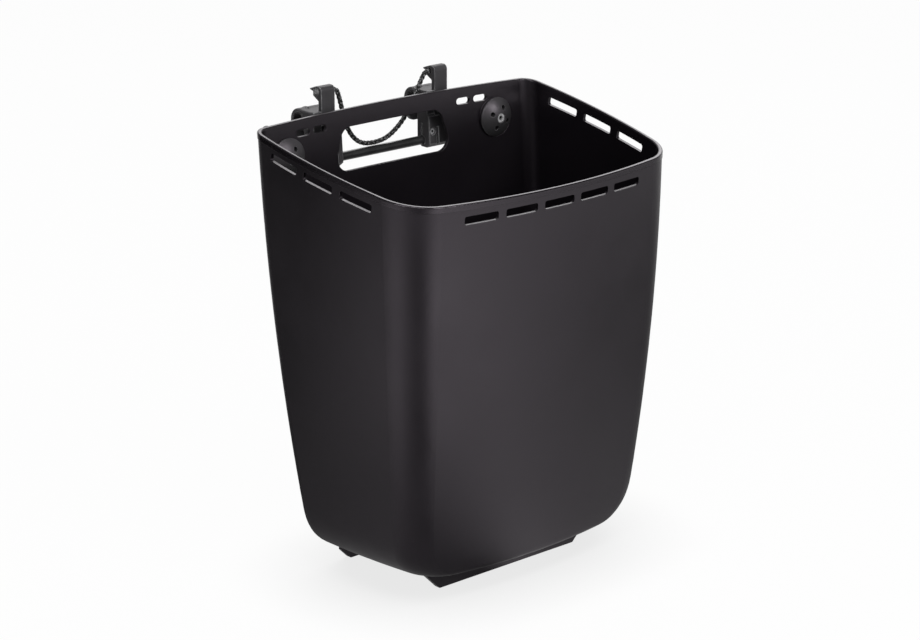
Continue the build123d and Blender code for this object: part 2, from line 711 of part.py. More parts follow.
rope_share = pull_rope.part.volume / (pi * rope_r**2 * rope_long)
print("rope length:", round(rope_long, 1), "volume over section times length:", round(rope_share, 4))
pull_rope.part.label = "pull_rope"
export_step(pull_rope.part, "parts/pull_rope.step")

# Rope knots, each with the rope's end inside the slider's cross hole
knot_in = 2 * slide_gap - knot_pocket_deep
for name, x, side in hooks:
    face_x = x + side * slider_half
    with BuildPart() as rope_knot:
        with BuildSketch(Plane((face_x, hole_y, hole_z), (side, 0, 0), (0, -side, 0))):
            with BuildLine():
                Polyline(
                    (knot_in, 0.85 * knot_r),
                    (knot_in, rope_r),
                    (-2 * slider_half, rope_r),
                    (-2 * slider_half, 0),
                    (knot_proud, 0),
                    (knot_proud, 0.5 * knot_r),
                )
                ThreePointArc(
                    (knot_proud, 0.5 * knot_r),
                    ((knot_in + knot_proud) / 2, knot_r),
                    (knot_in, 0.85 * knot_r),
                )
            make_face()
        revolve(axis=Axis((x, hole_y, hole_z), (1, 0, 0)))
    rope_knot.part.label = "rope_knot_" + name
    export_step(rope_knot.part, "parts/rope_knot_" + name + ".step")
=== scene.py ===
# %% [markdown]
# # Pannier bucket with quick-release rack hooks
# This lesson dresses a finished CAD model: a black moulded bucket, a rail with two rack hooks and a braided pull
# rope. The solids come in as a fixed frame in metres, so every piece made here is placed by CAD sizes, not by eye.

# %% Load the frame
import json
import math

import bmesh
import bpy
from mathutils import Matrix, Vector


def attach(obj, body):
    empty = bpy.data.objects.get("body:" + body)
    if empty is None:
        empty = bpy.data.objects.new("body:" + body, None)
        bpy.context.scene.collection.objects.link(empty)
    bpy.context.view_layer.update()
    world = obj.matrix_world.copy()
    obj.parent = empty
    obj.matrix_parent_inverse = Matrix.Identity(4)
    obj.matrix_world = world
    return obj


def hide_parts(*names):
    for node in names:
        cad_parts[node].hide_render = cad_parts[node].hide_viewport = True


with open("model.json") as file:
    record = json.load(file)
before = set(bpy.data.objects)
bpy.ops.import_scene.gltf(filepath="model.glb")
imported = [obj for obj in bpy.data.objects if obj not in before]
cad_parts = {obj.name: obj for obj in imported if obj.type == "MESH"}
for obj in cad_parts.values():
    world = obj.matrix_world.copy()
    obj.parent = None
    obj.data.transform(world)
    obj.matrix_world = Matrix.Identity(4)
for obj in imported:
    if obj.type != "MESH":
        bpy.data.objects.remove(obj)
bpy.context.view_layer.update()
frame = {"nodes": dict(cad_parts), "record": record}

nodes = frame["nodes"]
scene = bpy.context.scene
scene.view_settings.view_transform = "Standard"

# %% [markdown]
# ## Camera
# The photograph was taken with a long lens from the front left, a little above the rim. A long lens keeps the
# bucket's upright edges nearly parallel. The camera is aimed by a direction, which leaves no roll to correct by hand.

# %% Camera
eye = Vector((-1.5019, -1.6723, 0.8990))
aim = Vector((-0.00526, -0.00998, 0.20876))
focal_px = 2750
picture_wide_px = 920
sensor_wide = 36.0
camera_data = bpy.data.cameras.new("photo_camera")
camera_data.sensor_width = sensor_wide
camera_data.lens = focal_px * sensor_wide / picture_wide_px
camera = bpy.data.objects.new("photo_camera", camera_data)
camera.location = eye
camera.rotation_euler = (aim - eye).to_track_quat("-Z", "Y").to_euler()
scene.collection.objects.link(camera)
scene.camera = camera
print("camera: lens", round(camera_data.lens, 1), "mm, distance", round((aim - eye).length, 3), "m")

# %% [markdown]
# ## Short names for common nodes
# Every finish below is a small graph of the same few nodes. A helper for each keeps the graphs readable, because a
# line then says what is combined instead of how sockets are joined.

# %% Helpers for nodes
def feed(tree, value, socket):
    """Link a socket to another one, or set it to a plain value."""
    if isinstance(value, bpy.types.NodeSocket):
        tree.links.new(value, socket)
    else:
        socket.default_value = value


def math_node(tree, operation, first, second=None, clamp=False):
    """One math node; its inputs are sockets or plain numbers."""
    node = tree.nodes.new("ShaderNodeMath")
    node.operation = operation
    node.use_clamp = clamp
    for slot, value in enumerate((first, second)):
        if value is not None:
            feed(tree, value, node.inputs[slot])
    return node.outputs[0]


def map_range(tree, value, low, high, to_low, to_high):
    """Carry a value from one range to another, and hold it inside the new one."""
    node = tree.nodes.new("ShaderNodeMapRange")
    tree.links.new(value, node.inputs["Value"])
    for label, end in (("From Min", low), ("From Max", high), ("To Min", to_low), ("To Max", to_high)):
        feed(tree, end, node.inputs[label])
    return node.outputs["Result"]


def noise(tree, vector, scale, detail=2.0, roughness=0.5):
    """A noise texture's grey value."""
    node = tree.nodes.new("ShaderNodeTexNoise")
    tree.links.new(vector, node.inputs["Vector"])
    feed(tree, scale, node.inputs["Scale"])
    node.inputs["Detail"].default_value = detail
    node.inputs["Roughness"].default_value = roughness
    return node.outputs["Fac"]


def dot_product(tree, first, second):
    """How far two directions agree."""
    node = tree.nodes.new("ShaderNodeVectorMath")
    node.operation = "DOT_PRODUCT"
    tree.links.new(first, node.inputs[0])
    tree.links.new(second, node.inputs[1])
    return node.outputs["Value"]


def mix_colour(tree, factor, first, second):
    """A colour between two others; each is a socket or three plain numbers."""
    node = tree.nodes.new("ShaderNodeMix")
    node.data_type = "RGBA"
    tree.links.new(factor, node.inputs["Factor"])
    for label, colour in (("A", first), ("B", second)):
        feed(tree, (*colour, 1.0) if isinstance(colour, tuple) else colour, node.inputs[label])
    return node.outputs["Result"]


def mix_shader(tree, factor, first, second):
    """A share of a second shader over a first; the share is a socket or a plain number."""
    node = tree.nodes.new("ShaderNodeMixShader")
    feed(tree, factor, node.inputs[0])
    tree.links.new(first.outputs[0], node.inputs[1])
    tree.links.new(second.outputs[0], node.inputs[2])
    return node


def bumped(tree, height, strength, distance, normal=None):
    """The normal of a bumpy surface, on top of another normal where one is given."""
    node = tree.nodes.new("ShaderNodeBump")
    node.inputs["Strength"].default_value = strength
    node.inputs["Distance"].default_value = distance
    tree.links.new(height, node.inputs["Height"])
    if normal is not None:
        tree.links.new(normal, node.inputs["Normal"])
    return node.outputs["Normal"]


def new_material(name):
    """A material, its tree and its Principled shader."""
    material = bpy.data.materials.new(name)
    material.use_nodes = True
    return material, material.node_tree, material.node_tree.nodes["Principled BSDF"]


def object_point(tree):
    """The point being shaded, in the piece's own coordinates."""
    return tree.nodes.new("ShaderNodeTexCoord").outputs["Object"]


print("helpers: ready")

# %% [markdown]
# ## Shared finishes
# Moulded plastic is never one flat colour. It has a fine grain pressed in by the mould, soft cloudy patches where it
# is handled, and hair-thin scratches. Several plastics here share those effects, so each effect is a node group that
# is built once and then placed in a material with its own values.

# %% Helpers for node groups
def new_group(name, inputs, outputs):
    """A shader group with its input and output sockets, and the two nodes that stand for them."""
    group = bpy.data.node_groups.new(name, "ShaderNodeTree")
    for label, value in inputs:
        socket = group.interface.new_socket(label, in_out="INPUT", socket_type="NodeSocketFloat")
        socket.default_value = value
    for label in outputs:
        group.interface.new_socket(label, in_out="OUTPUT", socket_type="NodeSocketFloat")
    return group, group.nodes.new("NodeGroupInput"), group.nodes.new("NodeGroupOutput")


def group_node(tree, group, **values):
    """A group placed in a material, with its own values."""
    node = tree.nodes.new("ShaderNodeGroup")
    node.node_tree = group
    for label, value in values.items():
        node.inputs[label.replace("_", " ")].default_value = value
    return node


print("group helpers: ready")

# %% [markdown]
# ### Mould grain
# The grain of a spark-eroded mould is a dense field of tiny rounded pits, well under a millimetre across. A Voronoi
# distance gives the pits and a noise breaks up their regularity. A much larger noise gives the cloudy patches.

# %% Mould grain group
grain, grain_in, grain_out = new_group(
    "mould_grain", [("Scale", 1800.0), ("Cloud Scale", 18.0)], ["Height", "Cloud"])
grain_at = object_point(grain)
pits = grain.nodes.new("ShaderNodeTexVoronoi")
grain.links.new(grain_at, pits.inputs["Vector"])
grain.links.new(grain_in.outputs["Scale"], pits.inputs["Scale"])
rough_grain = noise(grain, grain_at, grain_in.outputs["Scale"], 3.0, 0.6)
grain.links.new(math_node(grain, "ADD", pits.outputs["Distance"], rough_grain), grain_out.inputs["Height"])
cloud = noise(grain, grain_at, grain_in.outputs["Cloud Scale"], 4.0, 0.55)
grain.links.new(map_range(grain, cloud, 0.35, 0.65, 0.0, 1.0), grain_out.inputs["Cloud"])
print("group:", grain.name)

# %% [markdown]
# ### Hair scratches
# Scratches are long in one direction and very thin in the other. Stretching a noise along one axis and keeping only
# its narrow crest gives that, with no drawing by hand.

# %% Hair scratch group
scratch_sets = ((0.35, (260.0, 260.0, 9.0)), (-0.5, (240.0, 240.0, 14.0)))
crest_half = 0.012
scratch, scratch_in, scratch_out = new_group("hair_scratches", [("Amount", 0.5)], ["Mask"])
scratch_at = object_point(scratch)
lines = None
for turn, stretch in scratch_sets:
    mapping = scratch.nodes.new("ShaderNodeMapping")
    mapping.inputs["Rotation"].default_value = (turn, turn * 0.6, 0.2)
    mapping.inputs["Scale"].default_value = stretch
    scratch.links.new(scratch_at, mapping.inputs["Vector"])
    crest = noise(scratch, mapping.outputs["Vector"], 1.0, 1.0, 0.4)
    away = math_node(scratch, "ABSOLUTE", math_node(scratch, "SUBTRACT", crest, 0.5))
    thin = map_range(scratch, away, 0.0, crest_half, 1.0, 0.0)
    lines = thin if lines is None else math_node(scratch, "MAXIMUM", lines, thin)
patch = map_range(scratch, noise(scratch, scratch_at, 9.0), 0.55, 0.75, 0.0, 1.0)
patchy = math_node(scratch, "MULTIPLY", lines, patch)
scratch.links.new(math_node(scratch, "MULTIPLY", patchy, scratch_in.outputs["Amount"]), scratch_out.inputs["Mask"])
print("group:", scratch.name)

# %% [markdown]
# ### Worn edges with a painted highlight
# Handling rubs an edge paler before it marks a face, and the same pale colour also stands for the thin line of light
# that a rounded edge catches: a painted highlight. A Bevel node gives the normal that a rounded edge would have, and
# where that normal differs from the true one, there is an edge. Noise keeps the wear from being a drawn outline.

# %% Edge wear and painted highlight group
wear_and_highlight, wear_and_highlight_in, wear_and_highlight_out = new_group("edge_wear_and_highlight", [("Radius", 0.0005), ("Patch Scale", 120.0)], ["Mask"])
rounded = wear_and_highlight.nodes.new("ShaderNodeBevel")
wear_and_highlight.links.new(wear_and_highlight_in.outputs["Radius"], rounded.inputs["Radius"])
true_normal = wear_and_highlight.nodes.new("ShaderNodeNewGeometry").outputs["Normal"]
alike = dot_product(wear_and_highlight, rounded.outputs["Normal"], true_normal)
turned = map_range(wear_and_highlight, math_node(wear_and_highlight, "SUBTRACT", 1.0, alike), 0.015, 0.12, 0.0, 1.0)
patches = noise(wear_and_highlight, object_point(wear_and_highlight), wear_and_highlight_in.outputs["Patch Scale"], 3.0)
rubbed_and_lit = map_range(wear_and_highlight, patches, 0.35, 0.6, 0.3, 1.0)
wear_and_highlight.links.new(math_node(wear_and_highlight, "MULTIPLY", turned, rubbed_and_lit), wear_and_highlight_out.inputs["Mask"])
print("group:", wear_and_highlight.name)

# %% [markdown]
# ### A plastic from the three groups
# Colour, roughness and bump read the same grain, so a cloudy patch is at once paler and duller. A Bevel node rounds
# the shading across hard CAD edges, which is where moulded plastic catches a thin line of light. Edge wear and its
# painted highlight reach twice as far as that rounding.

# %% Moulded plastic
glint_tint = (1.0, 0.89, 1.0)
pit_deep = 0.0001
cloud_share = 0.35
rough_spread = 0.05


def moulded_plastic(name, dark, pale, worn_and_highlight, rough, grain_scale, bump, scratches, edge, shine):
    """A dark moulded plastic with grain, cloudy handling marks, scratches, and soft, worn edges with a painted
    highlight.
    """
    material, tree, shader = new_material(name)
    shader.inputs["Specular IOR Level"].default_value = shine
    shader.inputs["Specular Tint"].default_value = (*glint_tint, 1.0)
    marks = group_node(tree, grain, Scale=grain_scale, Cloud_Scale=16.0)
    hairs = group_node(tree, scratch, Amount=scratches)
    cloudy = math_node(tree, "MULTIPLY", marks.outputs["Cloud"], cloud_share)
    marked = math_node(tree, "ADD", cloudy, hairs.outputs["Mask"], clamp=True)
    tint = mix_colour(tree, marked, dark, pale)
    # Pale edges are part wear, part painted highlight.
    rub_and_highlight = group_node(tree, wear_and_highlight, Radius=2 * edge).outputs["Mask"]
    tree.links.new(mix_colour(tree, rub_and_highlight, tint, worn_and_highlight), shader.inputs["Base Color"])
    dulled = map_range(tree, marks.outputs["Cloud"], 0.0, 1.0, rough - rough_spread, rough + rough_spread)
    tree.links.new(dulled, shader.inputs["Roughness"])
    soft_edge = tree.nodes.new("ShaderNodeBevel")
    soft_edge.inputs["Radius"].default_value = edge
    relief = bumped(tree, marks.outputs["Height"], bump, pit_deep, soft_edge.outputs["Normal"])
    tree.links.new(relief, shader.inputs["Normal"])
    return material


bucket_plastic = moulded_plastic(
    "bucket_plastic", dark=(0.0046, 0.0037, 0.0050), pale=(0.0098, 0.0082, 0.0105), worn_and_highlight=(0.020, 0.018, 0.021),
    rough=0.38, grain_scale=1500.0, bump=0.3, scratches=0.5, edge=0.0006, shine=0.7)
hook_plastic = moulded_plastic(
    "hook_plastic", dark=(0.050, 0.049, 0.051), pale=(0.120, 0.118, 0.122), worn_and_highlight=(0.45, 0.45, 0.46),
    rough=0.46, grain_scale=700.0, bump=0.6, scratches=0.4, edge=0.0008, shine=0.35)
washer_plastic = moulded_plastic(
    "washer_plastic", dark=(0.030, 0.030, 0.031), pale=(0.060, 0.059, 0.061), worn_and_highlight=(0.16, 0.16, 0.165),
    rough=0.43, grain_scale=1200.0, bump=0.2, scratches=0.3, edge=0.0004, shine=0.9)
liner_plastic = moulded_plastic(
    "liner_plastic", dark=(0.012, 0.012, 0.012), pale=(0.02, 0.02, 0.02), worn_and_highlight=(0.2, 0.2, 0.2),
    rough=0.5, grain_scale=1200.0, bump=0.3, scratches=0.0, edge=0.0003, shine=0.5)
print("plastics:", [m.name for m in (bucket_plastic, hook_plastic, washer_plastic, liner_plastic)])

# %% [markdown]
# ### Smooth inside and a polished band under the rim
# The core of the mould is smoother than its cavity, so the bucket is shinier inside than outside. The top five
# millimetres of the outer wall stand a little proud and are polished, so they mirror the room more sharply too. The
# rim leans towards the front, so the band's mask is the height of a point above or below that leaning plane, worked
# out from the point's own Y and Z. The outer face is where the normal points away from the bucket's middle.

# %% Rim band
rim_back = Vector((0.0, 0.0859, 0.3845))
rim_lean = math.tan(math.radians(10.05))
middle_y = -0.0162
band_tall = 0.0050
band_blend = 0.0003
inner_rough = 0.30
band_rough = 0.17
tree = bucket_plastic.node_tree
shader = tree.nodes["Principled BSDF"]
parts = tree.nodes.new("ShaderNodeSeparateXYZ")
tree.links.new(object_point(tree), parts.inputs[0])
rim_at = math_node(tree, "ADD", math_node(tree, "MULTIPLY", parts.outputs["Y"], rim_lean),
                   rim_back.z - rim_back.y * rim_lean)
below = math_node(tree, "SUBTRACT", rim_at, parts.outputs["Z"])
band = map_range(tree, below, band_tall - band_blend, band_tall + band_blend, 1.0, 0.0)
from_middle = tree.nodes.new("ShaderNodeCombineXYZ")
tree.links.new(parts.outputs["X"], from_middle.inputs["X"])
tree.links.new(math_node(tree, "SUBTRACT", parts.outputs["Y"], middle_y), from_middle.inputs["Y"])
true_normal = tree.nodes.new("ShaderNodeNewGeometry").outputs["Normal"]
facing = dot_product(tree, from_middle.outputs[0], true_normal)
outside = map_range(tree, facing, -0.01, 0.01, 0.0, 1.0)
grained = shader.inputs["Roughness"].links[0].from_socket
by_side = map_range(tree, outside, 0.0, 1.0, inner_rough, grained)
outer_band = math_node(tree, "MULTIPLY", band, outside)
tree.links.new(map_range(tree, outer_band, 0.0, 1.0, by_side, band_rough), shader.inputs["Roughness"])
print("polished band:", band_tall * 1000, "mm tall")

# %% [markdown]
# ### Painted shade in recesses
# Recesses such as a bolt's hex socket get painted shade: a darker colour where little light would reach. An Ambient
# Occlusion node finds them: it measures how shut in a point is by the piece around it.

# %% Recess painted shade group
recess_shade, recess_shade_in, recess_shade_out = new_group("recess_painted_shade", [("Distance", 0.003)], ["Mask"])
shut_in = recess_shade.nodes.new("ShaderNodeAmbientOcclusion")
shut_in.only_local = True
recess_shade.links.new(recess_shade_in.outputs["Distance"], shut_in.inputs["Distance"])
recess_shade.links.new(map_range(recess_shade, shut_in.outputs["AO"], 0.35, 0.85, 1.0, 0.0), recess_shade_out.inputs["Mask"])
print("group:", recess_shade.name)

# %% [markdown]
# ### Metals
# The rod is steel with a gloss black coat, and the fasteners are bright plated steel. The coat on the rod gives the
# sharp line of light along its top, over a slightly rougher paint.

# %% Rod paint and plated steel
# Painted shade: the colour that recesses take, where little light reaches.
recess_shade_black = (0.006, 0.006, 0.006)


def metal_finish(name, dark, pale, metallic, rough, coat, bump):
    """A painted or plated metal with fine grain, cloudy patches and painted shade in its recesses."""
    material, tree, shader = new_material(name)
    shader.inputs["Metallic"].default_value = metallic
    shader.inputs["Coat Weight"].default_value = coat
    marks = group_node(tree, grain, Scale=2600.0, Cloud_Scale=60.0)
    tint = mix_colour(tree, marks.outputs["Cloud"], dark, pale)
    # Painted shade darkens the colour in recesses.
    shaded_recess = group_node(tree, recess_shade, Distance=0.003).outputs["Mask"]
    tree.links.new(mix_colour(tree, shaded_recess, tint, recess_shade_black), shader.inputs["Base Color"])
    dulled = map_range(tree, marks.outputs["Cloud"], 0.0, 1.0, rough - 0.04, rough + 0.06)
    tree.links.new(dulled, shader.inputs["Roughness"])
    tree.links.new(bumped(tree, marks.outputs["Height"], bump, 0.00005), shader.inputs["Normal"])
    return material


rod_black = metal_finish(
    "rod_black", dark=(0.022, 0.022, 0.023), pale=(0.034, 0.034, 0.035), metallic=0.0, rough=0.32, coat=0.4, bump=0.1)
plated_steel = metal_finish(
    "plated_steel", dark=(0.74, 0.74, 0.75), pale=(0.90, 0.90, 0.91), metallic=0.4, rough=0.24, coat=0.0, bump=0.15)
print("metals:", rod_black.name, plated_steel.name)

# %% [markdown]
# ## Finishes on the CAD pieces
# The solids already have the right shapes, so they stay and only take a finish. The rope and its knots are left out
# here, because the braid below replaces them.

# %% Give each solid its finish
finish_of = {
    "bucket_plastic": bucket_plastic,
    "hook_plastic": hook_plastic,
    "washer_plastic": washer_plastic,
    "liner_plastic": liner_plastic,
    "rod_black": rod_black,
    "steel": plated_steel,
}
dressed = 0
for entry in frame["record"]["subparts"]:
    finish = finish_of.get(entry["material_slot"])
    if finish is not None:
        solid = nodes[entry["node"]]
        solid.data.materials.clear()
        solid.data.materials.append(finish)
        dressed += 1
print("dressed solids:", dressed)

# %% [markdown]
# ## Pull rope
# The rope hangs in a slack loop between the two lock sliders. Its line is one NURBS curve, with the CAD route's points
# as its control points. The rope itself is a round braid: half of the strands wind one way round that line and half
# the other way, and each goes over one and under the next.

# %% Rope line
rope_y = 0.1021
rope_top = 0.3979
rope_start = -0.0535
rope_end = 0.0594
rope_drops = [
    (rope_start, 0.0), (rope_start + 0.0072, 0.0), (rope_start + 0.0100, 0.0064), (rope_start + 0.0127, 0.0159),
    (rope_start + 0.0160, 0.0284), (rope_start + 0.0220, 0.0424), (rope_start + 0.0335, 0.0525),
    (rope_start + 0.0485, 0.0543), (rope_end - 0.0504, 0.0525), (rope_end - 0.0389, 0.0461),
    (rope_end - 0.0289, 0.0374), (rope_end - 0.0199, 0.0249), (rope_end - 0.0134, 0.0134),
    (rope_end - 0.0071, 0.0026), (rope_end - 0.0036, 0.0), (rope_end, 0.0),
]


def line_mesh(name, points):
    """A NURBS line by its control points, as a mesh of its edges."""
    curve = bpy.data.curves.new(name, "CURVE")
    curve.dimensions = "3D"
    curve.resolution_u = 24
    spline = curve.splines.new("NURBS")
    spline.points.add(len(points) - 1)
    for target, point in zip(spline.points, points):
        target.co = (*point, 1.0)
    spline.order_u = 3
    spline.use_endpoint_u = True
    holder = bpy.data.objects.new(name, curve)
    scene.collection.objects.link(holder)
    bpy.context.view_layer.update()
    mesh = bpy.data.meshes.new_from_object(holder.evaluated_get(bpy.context.evaluated_depsgraph_get()))
    bpy.data.objects.remove(holder)
    return mesh


rope_line = line_mesh("rope_line", [(x, rope_y, rope_top - drop) for x, drop in rope_drops])

# %% [markdown]
# ### Rope finish
# Braided cord is dull and black. Each strand gets a painted highlight where it passes over its neighbour, and keeps
# its black where it dips under. The braid below stores the over and under as an attribute named crest, and the colour
# reads it. The bump is fibre noise.

# %% Rope finish
strand_dark = (0.003, 0.003, 0.003)
# Painted highlight: the pale colour on the crest of each strand.
strand_painted_highlight = (0.34, 0.34, 0.345)
rope_braid, tree, shader = new_material("rope_braid")
shader.inputs["Sheen Weight"].default_value = 0.15
fibres = group_node(tree, grain, Scale=5200.0, Cloud_Scale=420.0)
crest_of = tree.nodes.new("ShaderNodeAttribute")
crest_of.attribute_name = "crest"
crest_highlight = map_range(tree, crest_of.outputs["Fac"], 0.6, 1.0, 0.0, 1.0)
furred = map_range(tree, fibres.outputs["Cloud"], 0.0, 1.0, 0.6, 1.0)
tint = mix_colour(tree, math_node(tree, "MULTIPLY", crest_highlight, furred), strand_dark, strand_painted_highlight)
tree.links.new(tint, shader.inputs["Base Color"])
tree.links.new(map_range(tree, fibres.outputs["Cloud"], 0.0, 1.0, 0.36, 0.52), shader.inputs["Roughness"])
tree.links.new(bumped(tree, fibres.outputs["Height"], 0.25, 0.0001), shader.inputs["Normal"])
print("finish:", rope_braid.name)

# %% [markdown]
# ### Braid by Geometry Nodes
# Geometry Nodes suit a braid: every strand is the same line, pushed off it by a turning offset. The tree reads how
# far along the line a point is, turns that into an angle, and moves the point by the line's own normal and its cross
# product with the tangent. A cosine on the distance from the line gives the over and under. A plain core closes the
# gaps between the strands.

# %% Braid tree
strand_sides = 6
core_sides = 10


def braid_tree(name, strands):
    """A tree that turns a line into a round braid of the given number of strands."""
    tree = bpy.data.node_groups.new(name, "GeometryNodeTree")
    tree.interface.new_socket("Line", in_out="INPUT", socket_type="NodeSocketGeometry")
    for label in ("Braid radius", "Strand radius", "Core radius", "Lay", "Weave depth", "Step"):
        tree.interface.new_socket(label, in_out="INPUT", socket_type="NodeSocketFloat")
    tree.interface.new_socket("Finish", in_out="INPUT", socket_type="NodeSocketMaterial")
    tree.interface.new_socket("Braid", in_out="OUTPUT", socket_type="NodeSocketGeometry")
    given = tree.nodes.new("NodeGroupInput").outputs

    def circle(radius, sides):
        """A round profile."""
        node = tree.nodes.new("GeometryNodeCurvePrimitiveCircle")
        node.inputs["Resolution"].default_value = sides
        tree.links.new(radius, node.inputs["Radius"])
        return node.outputs["Curve"]

    def tube(curve, profile):
        """A closed tube along a curve."""
        node = tree.nodes.new("GeometryNodeCurveToMesh")
        node.inputs["Fill Caps"].default_value = True
        tree.links.new(curve, node.inputs["Curve"])
        tree.links.new(profile, node.inputs["Profile Curve"])
        return node.outputs["Mesh"]

    to_curve = tree.nodes.new("GeometryNodeMeshToCurve")
    tree.links.new(given["Line"], to_curve.inputs["Mesh"])
    even = tree.nodes.new("GeometryNodeResampleCurve")
    even.mode = "LENGTH"
    tree.links.new(to_curve.outputs["Curve"], even.inputs["Curve"])
    tree.links.new(given["Step"], even.inputs["Length"])
    along = tree.nodes.new("GeometryNodeSplineParameter").outputs["Length"]
    normal = tree.nodes.new("GeometryNodeInputNormal").outputs["Normal"]
    tangent = tree.nodes.new("GeometryNodeInputTangent").outputs["Tangent"]
    side = tree.nodes.new("ShaderNodeVectorMath")
    side.operation = "CROSS_PRODUCT"
    tree.links.new(tangent, side.inputs[0])
    tree.links.new(normal, side.inputs[1])
    turn = math_node(tree, "MULTIPLY", math_node(tree, "DIVIDE", along, given["Lay"]), 2 * math.pi)
    ripple = math_node(tree, "COSINE", math_node(tree, "MULTIPLY", turn, strands / 2))
    weave = math_node(tree, "MULTIPLY", ripple, given["Weave depth"])
    profile = circle(given["Strand radius"], strand_sides)
    join = tree.nodes.new("GeometryNodeJoinGeometry")
    core = tube(even.outputs["Curve"], circle(given["Core radius"], core_sides))
    tree.links.new(core, join.inputs["Geometry"])
    for number in range(strands):
        way = 1 if number % 2 == 0 else -1
        phase = 2 * math.pi * (number // 2) / (strands / 2)
        angle = math_node(tree, "ADD", math_node(tree, "MULTIPLY", turn, way), phase)
        reach = math_node(tree, "ADD", given["Braid radius"], math_node(tree, "MULTIPLY", weave, way))
        offset = tree.nodes.new("ShaderNodeVectorMath")
        for slot, (axis, operation) in enumerate(((normal, "COSINE"), (side.outputs[0], "SINE"))):
            push = tree.nodes.new("ShaderNodeVectorMath")
            push.operation = "SCALE"
            far = math_node(tree, "MULTIPLY", math_node(tree, operation, angle), reach)
            tree.links.new(axis, push.inputs[0])
            tree.links.new(far, push.inputs["Scale"])
            tree.links.new(push.outputs[0], offset.inputs[slot])
        move = tree.nodes.new("GeometryNodeSetPosition")
        tree.links.new(even.outputs["Curve"], move.inputs["Geometry"])
        tree.links.new(offset.outputs[0], move.inputs["Offset"])
        crest = tree.nodes.new("GeometryNodeStoreNamedAttribute")
        crest.data_type = "FLOAT"
        crest.domain = "POINT"
        crest.inputs["Name"].default_value = "crest"
        tree.links.new(move.outputs["Geometry"], crest.inputs["Geometry"])
        over = math_node(tree, "ADD", math_node(tree, "MULTIPLY", ripple, 0.5 * way), 0.5)
        tree.links.new(over, crest.inputs["Value"])
        tree.links.new(tube(crest.outputs["Geometry"], profile), join.inputs["Geometry"])
    smooth = tree.nodes.new("GeometryNodeSetShadeSmooth")
    tree.links.new(join.outputs["Geometry"], smooth.inputs["Geometry"])
    real = tree.nodes.new("GeometryNodeRealizeInstances")
    tree.links.new(smooth.outputs["Geometry"], real.inputs["Geometry"])
    painted = tree.nodes.new("GeometryNodeSetMaterial")
    tree.links.new(real.outputs["Geometry"], painted.inputs["Geometry"])
    tree.links.new(given["Finish"], painted.inputs["Material"])
    result = tree.nodes.new("NodeGroupOutput")
    tree.links.new(painted.outputs["Geometry"], result.inputs["Braid"])
    return tree


braid = braid_tree("round_braid", 8)
print("tree:", braid.name)

# %% [markdown]
# ### The rope as a piece
# The tree's result becomes a plain mesh with one material, so the rope leaves this script as ordinary faces.

# %% Rope
def braided(name, line, sizes, tree):
    """The braid of a line, as a plain mesh piece."""
    piece = bpy.data.objects.new(name, line)
    scene.collection.objects.link(piece)
    modifier = piece.modifiers.new("braid", "NODES")
    modifier.node_group = tree
    for item in tree.interface.items_tree:
        if item.in_out == "INPUT" and item.name in sizes:
            modifier[item.identifier] = sizes[item.name]
    bpy.context.view_layer.update()
    mesh = bpy.data.meshes.new_from_object(piece.evaluated_get(bpy.context.evaluated_depsgraph_get()))
    piece.modifiers.clear()
    mesh.materials.clear()
    mesh.materials.append(sizes["Finish"])
    mesh.polygons.foreach_set("material_index", [0] * len(mesh.polygons))
    piece.data = mesh
    mesh.name = name
    return piece


rope_sizes = {"Braid radius": 0.00140, "Strand radius": 0.00064, "Core radius": 0.0013, "Lay": 0.0175,
              "Weave depth": 0.00022, "Step": 0.0004, "Finish": rope_braid}
rope = braided("rope", rope_line, rope_sizes, braid)
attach(rope, "rope")
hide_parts("pull_rope")
print("rope:", len(rope.data.polygons), "faces")

# %% [markdown]
# ### Melted ends
# The rope's cut ends are melted to shiny buttons. Melted cord is smoother and paler than its braid.

# %% Melt finish
rope_melt, tree, shader = new_material("rope_melt")
skin = group_node(tree, grain, Scale=2400.0, Cloud_Scale=500.0)
tint = mix_colour(tree, skin.outputs["Cloud"], (0.14, 0.14, 0.143), (0.38, 0.38, 0.385))
tree.links.new(tint, shader.inputs["Base Color"])
tree.links.new(map_range(tree, skin.outputs["Cloud"], 0.0, 1.0, 0.18, 0.32), shader.inputs["Roughness"])
print("finish:", rope_melt.name)

# %% [markdown]
# ### Stopper knots
# Each end of the rope is tied in a small stopper knot inside its slider. A tight spiral of the same braid, a turn and
# a half, reads as such a knot from every side, and the melted button fills the hole. Depths are measured back from the
# slider's outer face.

# %% Knots
knot_floor = 0.0044
spiral_floor = 0.0040
spiral_tall = 0.0030
spiral_radius = 0.0015
spiral_steps = 12
steps_per_turn = 8
knot_end = 0.0009
button_deep = 0.0005
button_half = (0.0014, 0.0030, 0.0030)
button_uneven = 0.0002
knot_changes = {"Braid radius": 0.00085, "Strand radius": 0.00045, "Core radius": 0.0008, "Lay": 0.0095,
                "Weave depth": 0.0001, "Step": 0.0003}


def knot_line(face_x, way):
    """The knot's line: from the pocket's floor, round itself, and out to its own middle."""
    points = [(face_x - way * knot_floor, rope_y, rope_top)]
    for step in range(spiral_steps + 1):
        angle = 2 * math.pi * step / steps_per_turn
        deep = spiral_floor - spiral_tall * step / spiral_steps
        points.append((face_x - way * deep, rope_y + spiral_radius * math.cos(angle),
                       rope_top + spiral_radius * math.sin(angle)))
    points.append((face_x - way * knot_end, rope_y, rope_top))
    return points


